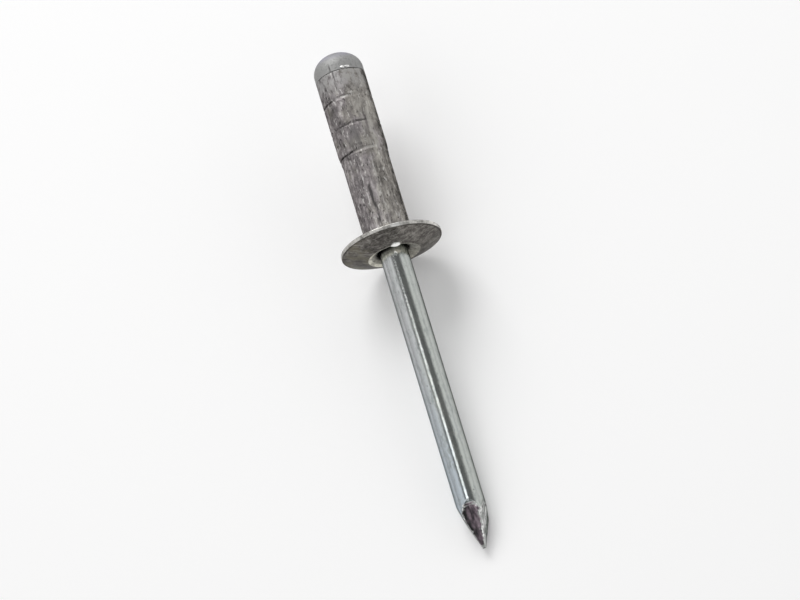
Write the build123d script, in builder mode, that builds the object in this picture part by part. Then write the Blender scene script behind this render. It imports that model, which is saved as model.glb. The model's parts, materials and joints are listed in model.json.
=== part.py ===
from build123d import *

import os
from math import atan2, cos, radians, sin

# A multi-grip blind rivet, lying as it comes to rest: on its flange's rim and on its mandrel's end.
# Lengths are in millimetres. Places along the rivet count from the flange's bearing face, positive towards the point.

# Rivet body: hollow shank with three rolled grooves near the tail
band_diameter = 4.8
shank_diameter = 4.55
body_length = 17.5
band_count = 3
band_length = 2.8
groove_depth = 0.05
groove_roll_radius = 0.3
taper_length = 1.3
tail_edge_chamfer = 0.08
root_fillet_radius = 0.2

# Flange: plain rim, low dome, flared mouth round the mandrel
flange_diameter = 9.8
flange_height = 1.3
rim_thickness = 0.38
rim_edge_radius = 0.1
dome_slope_degrees = 23
crest_radius = 0.22
flare_width = 0.86
flare_depth = 0.38
throat_width = 0.2
throat_length = 0.55

# Mandrel: wire with an upset head, a break neck and a pinched point
mandrel_diameter = 2.75
mandrel_clearance = 0.05
mandrel_reach = 30.1
point_length = 4.4
point_end_width = 0.3
point_side_count = 4
head_diameter = 4.8
head_land = 1.0
head_dome_height = 1.5
head_edge_radius = 0.1
head_root_chamfer = 0.2
neck_diameter = 1.9
neck_setback = 1.1
neck_width = 1.0
neck_root_radius = 0.2

# Turns
half_turn_degrees = 180
full_turn_degrees = 360

# Radii and places that follow from the sizes above
band_radius = band_diameter / 2
shank_radius = shank_diameter / 2
flange_radius = flange_diameter / 2
mandrel_radius = mandrel_diameter / 2
head_radius = head_diameter / 2
neck_radius = neck_diameter / 2
point_end_radius = point_end_width / 2
bore_radius = mandrel_radius + mandrel_clearance
throat_radius = bore_radius + throat_width
crest_ring_radius = throat_radius + flare_width
dome_slope = radians(dome_slope_degrees)
throat_top = flange_height - flare_depth
throat_foot = throat_top - throat_length
last_groove = band_count * band_length - body_length
taper_start = last_groove - taper_length / 2
taper_end = last_groove + taper_length / 2
head_seat = -body_length
head_corner = head_seat - head_land
head_apex = head_corner - head_dome_height
head_dome_radius = (head_radius**2 + head_dome_height**2) / (2 * head_dome_height)
neck_place = head_seat + neck_setback
point_tip = flange_height + mandrel_reach
point_start = point_tip - point_length

# The floor touches the flange where its rim meets its dome, and the shank where the underside flat of the point starts
tilt = atan2(flange_radius - mandrel_radius, point_start - rim_thickness)
axis_height = point_start * sin(tilt) + mandrel_radius * cos(tilt)

# The rivet's ends along the floor, so that the origin lies midway between them
head_end = (head_apex + head_dome_radius) * cos(tilt) - head_dome_radius
point_end = point_tip * cos(tilt) + point_end_radius * sin(tilt)
bearing_x = -(head_end + point_end) / 2

# The lying plane holds the rivet's axis as its x direction, and its y direction points up from the axis
rivet_plane = Plane(origin=(bearing_x, 0, axis_height), x_dir=(cos(tilt), 0, -sin(tilt)), z_dir=(0, -1, 0))
rivet_axis = Axis(rivet_plane.origin, rivet_plane.x_dir)

# The body's outline lies on the level plane through the axis, so its seam is at its side and not under its rim
side_plane = Plane(rivet_plane.location * Rot(X=half_turn_degrees / 2))


def corner(outline, place):
    """The outline's corner nearest to a place, given along the rivet's axis and out from it."""
    return outline.vertices().sort_by_distance(place)[0]


os.makedirs("parts", exist_ok=True)

# The body is one turned form: tail, bands, taper, shank, flange, flared mouth and bore
with BuildPart() as rivet_body:
    with BuildSketch(side_plane) as body_outline:
        with BuildLine():
            crest = (flange_height, crest_ring_radius)
            shank = Polyline(
                (head_seat + head_root_chamfer, bore_radius),
                (head_seat, bore_radius + head_root_chamfer),
                (head_seat, band_radius),
                (taper_start, band_radius),
                (taper_end, shank_radius),
                (0, shank_radius),
                (0, flange_radius),
                (rim_thickness, flange_radius),
            )
            TangentArc(shank @ 1, crest, tangent=(sin(dome_slope), -cos(dome_slope)))
            Polyline(
                crest,
                (throat_top, throat_radius),
                (throat_foot, bore_radius),
                shank @ 0,
            )
        make_face()
        chamfer(corner(body_outline, (head_seat, band_radius)), tail_edge_chamfer)
        fillet(corner(body_outline, (0, shank_radius)), root_fillet_radius)
        fillet(corner(body_outline, (0, flange_radius)), rim_edge_radius)
        fillet(corner(body_outline, crest), crest_radius)
        fillet(corner(body_outline, (throat_top, throat_radius)), crest_radius)
    revolve(axis=rivet_axis)

    # Each band ends in a shallow rolled groove, and the last groove lies on the taper
    for band in range(band_count):
        groove_place = head_seat + (band + 1) * band_length
        ground_radius = (band_radius + shank_radius) / 2 if band == band_count - 1 else band_radius
        with BuildSketch(side_plane):
            with Locations((groove_place, ground_radius + groove_roll_radius - groove_depth)):
                Circle(groove_roll_radius)
        revolve(axis=rivet_axis, mode=Mode.SUBTRACT)

rivet_body.part.label = "rivet_body"
export_step(rivet_body.part, "parts/rivet_body.step")

# The mandrel is turned as one form and its point is then pinched to four flats
with BuildPart() as mandrel:
    with BuildSketch(rivet_plane) as mandrel_outline:
        with BuildLine():
            RadiusArc((head_apex, 0), (head_corner, head_radius), head_dome_radius)
            Polyline(
                (head_corner, head_radius),
                (head_seat, head_radius),
                (head_seat, mandrel_radius),
                (neck_place - neck_width / 2, mandrel_radius),
                (neck_place, neck_radius),
                (neck_place + neck_width / 2, mandrel_radius),
                (point_tip, mandrel_radius),
                (point_tip, 0),
                (head_apex, 0),
            )
        make_face()
        fillet(corner(mandrel_outline, (head_corner, head_radius)), head_edge_radius)
        chamfer(corner(mandrel_outline, (head_seat, mandrel_radius)), head_root_chamfer)
        fillet(corner(mandrel_outline, (neck_place, neck_radius)), neck_root_radius)
    revolve(axis=rivet_axis)

    # Each flat slopes from the shank's outside to the blunt end, one of them straight up and one straight down
    for side in range(point_side_count):
        flat_plane = Plane(rivet_plane.location * Rot(X=side * full_turn_degrees / point_side_count))
        with BuildSketch(flat_plane):
            with BuildLine():
                Polyline(
                    (point_start, mandrel_radius),
                    (point_tip, point_end_radius),
                    (point_tip, mandrel_diameter),
                    (point_start, mandrel_diameter),
                    close=True,
                )
            make_face()
        extrude(amount=mandrel_diameter, both=True, mode=Mode.SUBTRACT)

mandrel.part.label = "mandrel"
export_step(mandrel.part, "parts/mandrel.step")
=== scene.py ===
"""A multi-grip blind rivet on a pale floor: meshes, metal finishes, studio light and camera, in metres."""

import json
import logging
import math
from abc import ABC, abstractmethod
from collections.abc import Mapping, Sequence
from dataclasses import dataclass, field, replace
from enum import Enum
from typing import ClassVar

import bmesh
import bpy
from mathutils import Matrix, Vector, noise


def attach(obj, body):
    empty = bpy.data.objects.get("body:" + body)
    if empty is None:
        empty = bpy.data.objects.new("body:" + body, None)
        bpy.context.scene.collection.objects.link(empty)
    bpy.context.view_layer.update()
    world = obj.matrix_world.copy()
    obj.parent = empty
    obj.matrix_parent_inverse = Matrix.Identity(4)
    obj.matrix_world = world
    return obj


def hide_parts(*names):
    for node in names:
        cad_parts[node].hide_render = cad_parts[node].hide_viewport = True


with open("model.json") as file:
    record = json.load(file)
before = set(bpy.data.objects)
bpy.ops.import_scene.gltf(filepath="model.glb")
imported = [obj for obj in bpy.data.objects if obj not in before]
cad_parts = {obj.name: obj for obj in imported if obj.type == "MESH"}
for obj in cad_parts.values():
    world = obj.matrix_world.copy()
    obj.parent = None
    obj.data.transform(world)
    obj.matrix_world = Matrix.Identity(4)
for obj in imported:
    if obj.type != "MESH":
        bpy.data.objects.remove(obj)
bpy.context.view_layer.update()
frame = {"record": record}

log = logging.getLogger("blind_rivet")

MM = 0.001
ROOT_BODY = "root"
OWN_PLACE = "own_place"
SAME_POINT = 0.001 * MM
QUARTER_TURN = 90.0
HALF_TURN = 180.0

ProfilePoint = tuple[float, float]
Colour = tuple[float, float, float]
Stops = tuple[tuple[float, Colour], ...]
Ring = list[bmesh.types.BMVert]
Socket = bpy.types.NodeSocket
Inputs = Mapping[str | int, object]

WHITE: Colour = (1.0, 1.0, 1.0)


class Slot(Enum):
    """The record's material slots."""

    BODY = "rivet_body"
    MANDREL = "mandrel"


class BodyFinish(Enum):
    """The finishes of the body, in the order of its mesh's materials."""

    DRAWN = 0
    PRESSED = 1
    RIM = 2
    MOUTH = 3


class MandrelFinish(Enum):
    """The finishes of the mandrel, in the order of its mesh's materials."""

    ZINC = 0
    HEAD = 1
    SHEARED = 2
    SMEARED = 3
    FLASH = 4


class Way(Enum):
    """The rivet's own directions."""

    ACROSS = "X"
    UP = "Y"
    ALONG = "Z"


class Sum(Enum):
    """The sums that a math node does."""

    ADD = "ADD"
    MULTIPLY = "MULTIPLY"
    ABSOLUTE = "ABSOLUTE"
    ARCTAN2 = "ARCTAN2"
    MAXIMUM = "MAXIMUM"


class Ramp(Enum):
    """How a colour ramp passes from one stop to the next."""

    LINEAR = "LINEAR"
    EASE = "EASE"


class Mixing(Enum):
    """How one colour is laid over another."""

    COVER = "MIX"
    TINT = "MULTIPLY"


@dataclass(frozen=True)
class LyingAxis:
    """The rivet's own axis as it lies on the floor, with its start at the flange's bearing face."""

    start: Vector
    along: Vector
    side: Vector
    up: Vector

    @classmethod
    def from_mounts(cls, mounts: Sequence[dict]) -> "LyingAxis":
        """Works the axis out of the record's mounts.

        Args:
            mounts: The record's mounts, with the mandrel's grip, the shank and the bearing face.

        Returns:
            The axis from the head to the point, with its side level and its third direction upwards.
        """
        by_name = {mount["name"]: mount for mount in mounts}
        along = Vector(by_name["mandrel_grip"]["axis"]).normalized()
        on_axis = Vector(by_name["body_shank"]["pos_m"])
        on_face = Vector(by_name["bearing_face"]["pos_m"])
        start = on_axis + along * (on_face - on_axis).dot(along)
        side = Vector((0.0, 0.0, 1.0)).cross(along).normalized()
        return cls(start=start, along=along, side=side, up=along.cross(side))

    def matrix(self) -> Matrix:
        """The placing of a mesh whose z runs along the rivet, whose x is its side and whose y is up."""
        turn = Matrix((self.side, self.up, self.along)).transposed().to_4x4()
        return Matrix.Translation(self.start) @ turn


def arc_points(
    centre: ProfilePoint, radius: float, start: float, end: float, count: int
) -> list[ProfilePoint]:
    """Samples an arc of a turned outline.

    Args:
        centre: The arc's centre, as place along the axis and distance from it.
        radius: The arc's radius.
        start: The first angle in degrees, counted from the outward direction towards the point.
        end: The last angle in degrees.
        count: How many steps the arc is cut into.

    Returns:
        The arc's points, both ends included.
    """
    angles = [math.radians(start + (end - start) * step / count) for step in range(count + 1)]
    return [(centre[0] + radius * math.sin(a), centre[1] + radius * math.cos(a)) for a in angles]


def line_points(start: ProfilePoint, end: ProfilePoint, spacing: float) -> list[ProfilePoint]:
    """Samples a straight stretch of a turned outline.

    Args:
        start: The first point, as place along the axis and distance from it.
        end: The last point.
        spacing: The longest step that is wanted.

    Returns:
        The stretch's points, both ends included.
    """
    count = max(1, math.ceil(math.dist(start, end) / spacing))
    shares = [step / count for step in range(count + 1)]
    return [(start[0] + (end[0] - start[0]) * s, start[1] + (end[1] - start[1]) * s) for s in shares]


def rounded_corner(
    before: ProfilePoint, corner: ProfilePoint, after: ProfilePoint, radius: float, count: int
) -> list[ProfilePoint]:
    """Rounds an outline's corner with an arc that touches both its sides.

    Args:
        before: A point on the side that leads to the corner.
        corner: The sharp corner.
        after: A point on the side that leaves it.
        radius: The arc's radius.
        count: How many steps the arc is cut into.

    Returns:
        The arc's points, from the first side to the second.
    """
    here = Vector(corner)
    back = (Vector(before) - here).normalized()
    onward = (Vector(after) - here).normalized()
    half = back.angle(onward) / 2.0
    reach = radius / math.tan(half)
    centre = here + (back + onward).normalized() * (radius / math.sin(half))
    first = here + back * reach - centre
    last = here + onward * reach - centre
    return [tuple(centre + radius * first.slerp(last, step / count)) for step in range(count + 1)]


def without_repeats(points: Sequence[ProfilePoint]) -> list[ProfilePoint]:
    """Drops each point of an outline that lies on the one before it."""
    pairs = zip(points, points[1:])
    return [points[0]] + [after for before, after in pairs if math.dist(before, after) > SAME_POINT]


def held(share: float) -> float:
    """A share, held between 0 and 1."""
    return min(1.0, max(0.0, share))


def soft_least(first: float, second: float, softness: float) -> float:
    """The smaller of two sizes, with the passage from one to the other rounded off."""
    overlap = max(0.0, softness - abs(first - second)) / softness
    return min(first, second) - overlap * overlap * softness / 4.0


@dataclass(frozen=True)
class TurnedPoint:
    """A point of a turned surface: its place along the axis, its turn from straight up and its radius."""

    z: float
    angle: float
    r: float

    @property
    def degrees(self) -> float:
        """The turn in degrees, between minus and plus a half turn."""
        return math.degrees(math.atan2(math.sin(self.angle), math.cos(self.angle)))

    @property
    def in_mm(self) -> tuple[float, float, float]:
        """The point's places across, up and along the rivet, in millimetres."""
        return self.r * math.sin(self.angle) / MM, self.r * math.cos(self.angle) / MM, self.z / MM


@dataclass(frozen=True)
class Grain:
    """A repeatable unevenness of a mesh: how fast it changes each way, its shift and its share."""

    rate: tuple[float, float, float]
    shift: tuple[float, float, float] = (0.0, 0.0, 0.0)
    share: float = 1.0

    def at(self, place: Sequence[float]) -> float:
        """The unevenness at a place, between about minus and plus the share."""
        parts = [rate * part + step for rate, part, step in zip(self.rate, place, self.shift)]
        return self.share * noise.noise(Vector(parts))


@dataclass
class ShaderGraph:
    """A small hand for building the nodes of a material or a world. Its places are in millimetres."""

    owner: bpy.types.Material | bpy.types.World
    made: "dict[Value, Socket]" = field(default_factory=dict, init=False)
    column_width: ClassVar[float] = 200.0

    @classmethod
    def for_material(cls, name: str, metallic: float) -> "ShaderGraph":
        """Starts a fresh material with only its shader and its output.

        Args:
            name: The material's name.
            metallic: How far it is a metal.

        Returns:
            The material's graph.
        """
        material = bpy.data.materials.new(name)
        material.use_nodes = True
        graph = cls(material)
        graph.feed(graph.shader, {"Metallic": metallic})
        return graph

    @property
    def shader(self) -> bpy.types.ShaderNode:
        """The material's shader."""
        return self.owner.node_tree.nodes["Principled BSDF"]

    def add(self, kind: str, inputs: Inputs, **settings: object) -> bpy.types.ShaderNode:
        """Adds a node.

        Args:
            kind: The node's type.
            inputs: What its inputs get, by their names or numbers.
            settings: Properties of the node to set.

        Returns:
            The new node.
        """
        nodes = self.owner.node_tree.nodes
        node = nodes.new(kind)
        node.location.x = -self.column_width * len(nodes)
        for name, value in settings.items():
            setattr(node, name, value)
        self.feed(node, inputs)
        return node

    def feed(self, node: bpy.types.ShaderNode, inputs: Inputs) -> None:
        """Gives a node's inputs their sources.

        Args:
            node: The node.
            inputs: For each a value or an output, which is linked, or a fixed number, vector or colour.
        """
        for name, source in inputs.items():
            socket = node.inputs[name]
            if isinstance(source, Value):
                source = self.output(source)
            if isinstance(source, Socket):
                self.owner.node_tree.links.new(source, socket)
            else:
                socket.default_value = (*source, 1.0) if socket.type == "RGBA" else source

    def output(self, value: "Value") -> Socket:
        """A value's output. Its nodes are made only once.

        Args:
            value: The value.

        Returns:
            The output.
        """
        if value not in self.made:
            self.made[value] = value.build(self)
        return self.made[value]

    def place(self, along: float = 1.0) -> Socket:
        """The rivet's own coordinates in millimetres.

        Args:
            along: What the place along the rivet is multiplied by.

        Returns:
            The coordinates' output.
        """
        own = self.add("ShaderNodeAttribute", {}, attribute_name=OWN_PLACE).outputs["Vector"]
        scale = (1.0 / MM, 1.0 / MM, along / MM)
        return self.add("ShaderNodeVectorMath", {0: own, 1: scale}, operation="MULTIPLY").outputs[0]


class Value(ABC):
    """Something that varies over the surface. Values can be added, multiplied and eased."""

    # The limits between which nearly all of a cloud lies
    usual_low: ClassVar[float] = 0.3
    usual_high: ClassVar[float] = 0.7

    @abstractmethod
    def build(self, graph: ShaderGraph) -> Socket:
        """Makes the value's nodes in a graph and gives their output."""

    def __add__(self, other: "Value | float") -> "Worked":
        """The sum of this value and another."""
        return Worked(Sum.ADD, (self, other))

    def __sub__(self, other: float) -> "Worked":
        """This value less a number."""
        return Worked(Sum.ADD, (self, -other))

    def __mul__(self, other: "Value | float") -> "Worked":
        """The product of this value and another."""
        return Worked(Sum.MULTIPLY, (self, other))

    def __abs__(self) -> "Worked":
        """This value without its sign."""
        return Worked(Sum.ABSOLUTE, (self,))

    def eased(self, low: float, high: float, to_low: float = 0.0, to_high: float = 1.0) -> "Eased":
        """An eased passage between two results while this value goes from one limit to the other."""
        return Eased(self, low, high, to_low, to_high)

    def ranging(self, to_low: float, to_high: float) -> "Eased":
        """An eased passage between two results over a cloud's usual limits."""
        return self.eased(self.usual_low, self.usual_high, to_low, to_high)

    def between(self, low: float, high: float, soft: float) -> "Worked":
        """A value that is 1 while this one lies between two limits with soft ends, and else 0."""
        return self.eased(low - soft, low + soft) * self.eased(high - soft, high + soft, 1.0, 0.0)


@dataclass(frozen=True)
class Worked(Value):
    """Values, outputs and numbers that are worked into one."""

    operation: Sum
    parts: tuple[Value | Socket | float, ...]

    def build(self, graph: ShaderGraph) -> Socket:
        """Makes the math node in a graph and gives its output."""
        inputs = dict(enumerate(self.parts))
        return graph.add("ShaderNodeMath", inputs, operation=self.operation.value).outputs[0]


@dataclass(frozen=True)
class Eased(Value):
    """A value's eased passage from one range to another, held at both ends."""

    source: Value
    low: float
    high: float
    to_low: float
    to_high: float

    def build(self, graph: ShaderGraph) -> Socket:
        """Makes the passage's node.

        Args:
            graph: The material's nodes.

        Returns:
            Its output.
        """
        inputs = {
            "Value": self.source,
            "From Min": self.low,
            "From Max": self.high,
            "To Min": self.to_low,
            "To Max": self.to_high,
        }
        node = graph.add("ShaderNodeMapRange", inputs, interpolation_type="SMOOTHSTEP")
        return node.outputs["Result"]


@dataclass(frozen=True)
class Part(Value):
    """One of the rivet's own coordinates, in millimetres."""

    way: Way

    def build(self, graph: ShaderGraph) -> Socket:
        """Makes the coordinate's nodes in a graph and gives their output."""
        return graph.add("ShaderNodeSeparateXYZ", {0: graph.place()}).outputs[self.way.value]


@dataclass(frozen=True)
class FromAxis(Value):
    """The distance from the rivet's axis, in millimetres."""

    def build(self, graph: ShaderGraph) -> Socket:
        """Makes the distance's nodes in a graph and gives their output."""
        flat = graph.place(along=0.0)
        return graph.add("ShaderNodeVectorMath", {0: flat}, operation="LENGTH").outputs["Value"]


@dataclass(frozen=True)
class Cloud(Value):
    """Noise between 0 and 1: grains on a millimetre, their stretch along the rivet, finer layers, shift."""

    per_mm: float
    stretch: float = 1.0
    detail: float = 3.0
    rough: float = 0.55
    shift: float = 0.0

    def build(self, graph: ShaderGraph) -> Socket:
        """Makes the noise's nodes.

        Args:
            graph: The material's nodes.

        Returns:
            Their output.
        """
        shift = {0: graph.place(1.0 / self.stretch), 1: (self.shift, self.shift, self.shift)}
        shifted = graph.add("ShaderNodeVectorMath", shift, operation="ADD").outputs[0]
        inputs = {"Vector": shifted, "Scale": self.per_mm, "Detail": self.detail, "Roughness": self.rough}
        return graph.add("ShaderNodeTexNoise", inputs).outputs["Fac"]


@dataclass(frozen=True)
class Scratches(Value):
    """Straight scratches across the rivet, as noise: the way they run in degrees, their shift and form."""

    heading: float
    shift: float
    per_mm: float = 4.5
    length: float = 6.0
    detail: float = 1.0

    def build(self, graph: ShaderGraph) -> Socket:
        """Makes the scratches' nodes.

        Args:
            graph: The material's nodes.

        Returns:
            Their output.
        """
        turn = {
            "Vector": graph.place(),
            "Location": (self.shift, self.shift, self.shift),
            "Rotation": (0.0, 0.0, -math.radians(self.heading)),
            "Scale": (1.0 / self.length, 1.0, 1.0 / self.length),
        }
        turned = graph.add("ShaderNodeMapping", turn).outputs[0]
        inputs = {"Vector": turned, "Scale": self.per_mm, "Detail": self.detail}
        return graph.add("ShaderNodeTexNoise", inputs).outputs["Fac"]


@dataclass(frozen=True)
class Tones(Value):
    """A row of colours that a number picks from: places between 0 and 1 and their colours, in order."""

    picked_by: Value | Socket
    stops: Stops
    passing: Ramp = Ramp.LINEAR

    def build(self, graph: ShaderGraph) -> Socket:
        """Makes the colour ramp.

        Args:
            graph: The nodes of the material or world.

        Returns:
            The colour's output.
        """
        node = graph.add("ShaderNodeValToRGB", {"Fac": self.picked_by})
        node.color_ramp.interpolation = self.passing.value
        elements = node.color_ramp.elements
        while len(elements) < len(self.stops):
            elements.new(1.0)
        for element, (place, colour) in zip(elements, self.stops):
            element.position = place
            element.color = (*colour, 1.0)
        return node.outputs["Color"]


ACROSS, UP, ALONG = (Part(way) for way in Way)
OUT = FromAxis()
AROUND = Worked(Sum.ARCTAN2, (ACROSS, UP))


@dataclass(frozen=True)
class Layer:
    """A colour that is laid over what is under it, by an amount that varies over the surface."""

    colour: Colour | Tones
    amount: Value | float
    mixing: Mixing = Mixing.COVER

    # A mix node's colour sockets go by number, because those for other values have the same names
    amount_input: ClassVar[int] = 0
    ground_input: ClassVar[int] = 6
    colour_input: ClassVar[int] = 7
    result_output: ClassVar[int] = 2

    def over(self, ground: Socket | Colour | Tones, graph: ShaderGraph) -> Socket:
        """Lays the colour over a ground.

        Args:
            ground: The colour under it.
            graph: The material's nodes.

        Returns:
            The mixed colour's output.
        """
        inputs = {
            self.amount_input: self.amount,
            self.ground_input: ground,
            self.colour_input: self.colour,
        }
        node = graph.add("ShaderNodeMix", inputs, data_type="RGBA", blend_type=self.mixing.value)
        return node.outputs[self.result_output]


@dataclass(frozen=True)
class LengthMark:
    """A lengthwise mark: its angle from straight up, its radius, its ends, its width and its strength."""

    angle: float
    radius: float
    start: float
    end: float
    half_width: float
    strength: float
    colour: Colour
    wobble: ClassVar[float] = 0.22
    wander: ClassVar[Cloud] = Cloud(1.6, stretch=2.0, detail=4.0)
    core_share: ClassVar[float] = 0.2
    end_softness: ClassVar[float] = 0.35
    gaps: ClassVar[Cloud] = Cloud(2.4, stretch=5.0)
    gap_shift: ClassVar[float] = 3.0

    def layer(self) -> Layer:
        """The mark as a wandering, broken line.

        Returns:
            The layer.
        """
        half_width = self.half_width / MM
        wander = replace(self.wander, shift=self.angle) * (2.0 * self.wobble) - self.wobble
        aside = (AROUND - math.radians(self.angle)) * (self.radius / MM) + wander
        line = abs(aside).eased(self.core_share * half_width, half_width, 1.0, 0.0)
        reach = ALONG.between(self.start / MM, self.end / MM, self.end_softness)
        gaps = replace(self.gaps, shift=self.angle + self.gap_shift).eased(0.40, 0.56)
        return Layer(self.colour, line * reach * gaps * self.strength)


@dataclass(frozen=True)
class PolishedSpot:
    """A small bright place: its angle from straight up, its radius, its place along and its half sizes."""

    angle: float
    radius: float
    place: float
    half_around: float
    half_out: float
    half_along: float
    softness: float = 0.6
    border: ClassVar[float] = 1.6
    uneven: ClassVar[Cloud] = Cloud(3.0, detail=2.0, shift=59.0)
    colour: ClassVar[Colour] = (0.97, 0.97, 0.95)

    def layer(self) -> Layer:
        """The spot as a layer with a soft, uneven border.

        Returns:
            The layer.
        """
        aside = (AROUND - math.radians(self.angle)) * (self.radius / self.half_around)
        out = (OUT - self.radius / MM) * (MM / self.half_out)
        along = (ALONG - self.place / MM) * (MM / self.half_along)
        away = self.uneven + aside * aside + out * out + along * along
        return Layer(self.colour, away.eased(self.border - self.softness, self.border, 1.0, 0.0))


@dataclass(frozen=True)
class RolledGroove:
    """A rolled groove: its place along the rivet, and its dark stretch across it in millimetres, darkened
    by dirt and painted shade, with a painted highlight beside it.
    """

    place: float
    dark_start: float
    dark_end: float
    dirt_and_shade: float
    painted_highlight: float
    wobble: ClassVar[float] = 0.14
    drift: ClassVar[Cloud] = Cloud(2.2, shift=9.0)
    dashes: ClassVar[Cloud] = Cloud(1.9, detail=2.0, shift=29.0)
    half_width: ClassVar[float] = 0.15
    core_share: ClassVar[float] = 0.3
    dark_softness: ClassVar[float] = 0.35
    painted_highlight_length: ClassVar[float] = 1.4
    painted_highlight_softness: ClassVar[float] = 0.3
    # The first colour below is dirt and painted shade, the second a painted highlight; both also serve
    # random pits and specks.
    grime_and_shade: ClassVar[Colour] = (0.045, 0.042, 0.041)
    wear_and_painted_light: ClassVar[Colour] = (0.78, 0.77, 0.74)

    def layers(self) -> tuple[Layer, Layer]:
        """The groove's line as it shows.

        Returns:
            The painted highlight on the stretch beside the dark one, and the dirt and painted shade on the
            dark stretch.
        """
        along = ALONG + self.drift * (2.0 * self.wobble) - self.wobble
        away = abs(along - self.place / MM)
        line = away.eased(self.core_share * self.half_width, self.half_width, 1.0, 0.0)
        line = line * self.dashes.eased(0.40, 0.52, to_low=0.25)
        # The groove is darkened by dirt and painted shade only over its dark stretch across the rivet, and
        # a painted highlight lies on the stretch beside it.
        dark_stretch = ACROSS.between(self.dark_start, self.dark_end, self.dark_softness)
        highlight_stretch = ACROSS.between(self.dark_end, self.dark_end + self.painted_highlight_length, self.painted_highlight_softness)
        return Layer(self.wear_and_painted_light, line * highlight_stretch * self.painted_highlight), Layer(self.grime_and_shade, line * dark_stretch * self.dirt_and_shade)


@dataclass(frozen=True)
class Finish:
    """A metal's finish: its ground, the layers over it from the lowest up, its roughness and its relief."""

    name: str
    ground: Colour | Tones
    layers: Sequence[Layer]
    roughness: Value
    relief: Value
    depth: float
    edge_tint: float = 1.0

    def material(self) -> bpy.types.Material:
        """Makes the finish's material.

        Returns:
            The new material.
        """
        graph = ShaderGraph.for_material(self.name, metallic=1.0)
        colour = self.ground
        for layer in self.layers:
            colour = layer.over(colour, graph)
        relief = {"Strength": 1.0, "Distance": self.depth, "Height": self.relief}
        inputs = {
            "Base Color": colour,
            "Roughness": self.roughness,
            "Specular Tint": (self.edge_tint, self.edge_tint, self.edge_tint),
            "Normal": graph.add("ShaderNodeBump", relief).outputs["Normal"],
        }
        graph.feed(graph.shader, inputs)
        return graph.owner


def rubbed_metal(
    name: str, dull: Colour, bright: Colour, sheen: tuple[float, float], *layers: Layer
) -> Finish:
    """The finish of a place that tools and handling have rubbed bright.

    Args:
        name: The finish's name.
        dull: The colour of its least rubbed patches.
        bright: The colour of its most rubbed patches.
        sheen: The roughness of its least and of its most rubbed patches.
        layers: What lies on it, from the lowest up.

    Returns:
        The finish.
    """
    wear = Cloud(1.3, detail=4.0, rough=0.6, shift=11.0)
    tone = wear * 0.7 + Cloud(7.0, detail=2.0, shift=53.0) * 0.3
    ground = Tones(tone, ((0.37, dull), (0.63, bright)))
    return Finish(name, ground, layers, wear.eased(0.35, 0.65, *sheen), relief=tone, depth=0.012 * MM)


class TurnedPiece(ABC):
    """A piece turned about z from an outline, whose places and radii may wander with the angle."""

    name: ClassVar[str]
    node: ClassVar[str]
    slot: ClassVar[Slot]
    is_ring: ClassVar[bool]
    segments: int

    @abstractmethod
    def outline(self) -> list[ProfilePoint]:
        """The outline's points in order, as places along the axis and distances from it."""

    @abstractmethod
    def surface_at(self, at: TurnedPoint) -> ProfilePoint:
        """The place and the radius of the worked surface over a point of the plain turned form."""

    @abstractmethod
    def finish_at(self, at: TurnedPoint) -> Enum:
        """The name of the finish of the face at a point."""

    @abstractmethod
    def finishes(self) -> dict[Enum, Finish]:
        """The piece's finishes by their names, in the order of its mesh's materials."""

    def build(self, lying: LyingAxis) -> bpy.types.Object:
        """Its points also keep their places in its own directions.

        Args:
            lying: Where the rivet lies.

        Returns:
            The finished piece, linked to the scene.
        """
        mesh = bpy.data.meshes.new(self.name)
        shape = self._shape()
        shape.to_mesh(mesh)
        shape.free()
        own_places = [part for vertex in mesh.vertices for part in vertex.co]
        mesh.attributes.new(OWN_PLACE, "FLOAT_VECTOR", "POINT").data.foreach_set("vector", own_places)
        mesh.transform(lying.matrix())
        for finish in self.finishes().values():
            mesh.materials.append(finish.material())
        piece = bpy.data.objects.new(self.name, mesh)
        bpy.context.scene.collection.objects.link(piece)
        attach(piece, ROOT_BODY)
        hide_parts(self.node)
        return piece

    def _shape(self) -> bmesh.types.BMesh:
        """Turns the outline and gives each face its finish.

        Returns:
            The closed shape, in the piece's own directions.
        """
        shape = bmesh.new()
        rings = [self._ring(shape, z, r) for z, r in self.outline()]
        pairs = list(zip(rings, rings[1:]))
        if self.is_ring:
            pairs.append((rings[-1], rings[0]))
        for low, high in pairs:
            self._bridge(shape, low, high)
        bmesh.ops.recalc_face_normals(shape, faces=shape.faces)
        for face in shape.faces:
            face.smooth = True
            x, y, z = face.calc_center_median()
            face.material_index = self.finish_at(TurnedPoint(z, math.atan2(x, y), math.hypot(x, y))).value
        return shape

    def _ring(self, shape: bmesh.types.BMesh, z: float, r: float) -> Ring:
        """One ring of vertices, or a single one where the outline meets the axis.

        Args:
            shape: The shape that gets them.
            z: The ring's place along the axis.
            r: Its distance from the axis.

        Returns:
            The vertices in order.
        """
        if r <= 0.0:
            return [shape.verts.new((0.0, 0.0, z))]
        ring = []
        for step in range(self.segments):
            angle = math.tau * step / self.segments
            place, radius = self.surface_at(TurnedPoint(z, angle, r))
            ring.append(shape.verts.new((radius * math.sin(angle), radius * math.cos(angle), place)))
        return ring

    @staticmethod
    def _bridge(shape: bmesh.types.BMesh, low: Ring, high: Ring) -> None:
        """Fills the gap between two neighbouring rings, with a fan where one is a single vertex.

        Args:
            shape: The shape that gets the faces.
            low: The ring nearer the outline's start.
            high: The ring nearer its end.
        """
        count = max(len(low), len(high))
        for step in range(count):
            after = (step + 1) % count
            places = ((low, step), (low, after), (high, after), (high, step))
            corners = [ring[place % len(ring)] for ring, place in places]
            shape.faces.new(list(dict.fromkeys(corners)))


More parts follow.
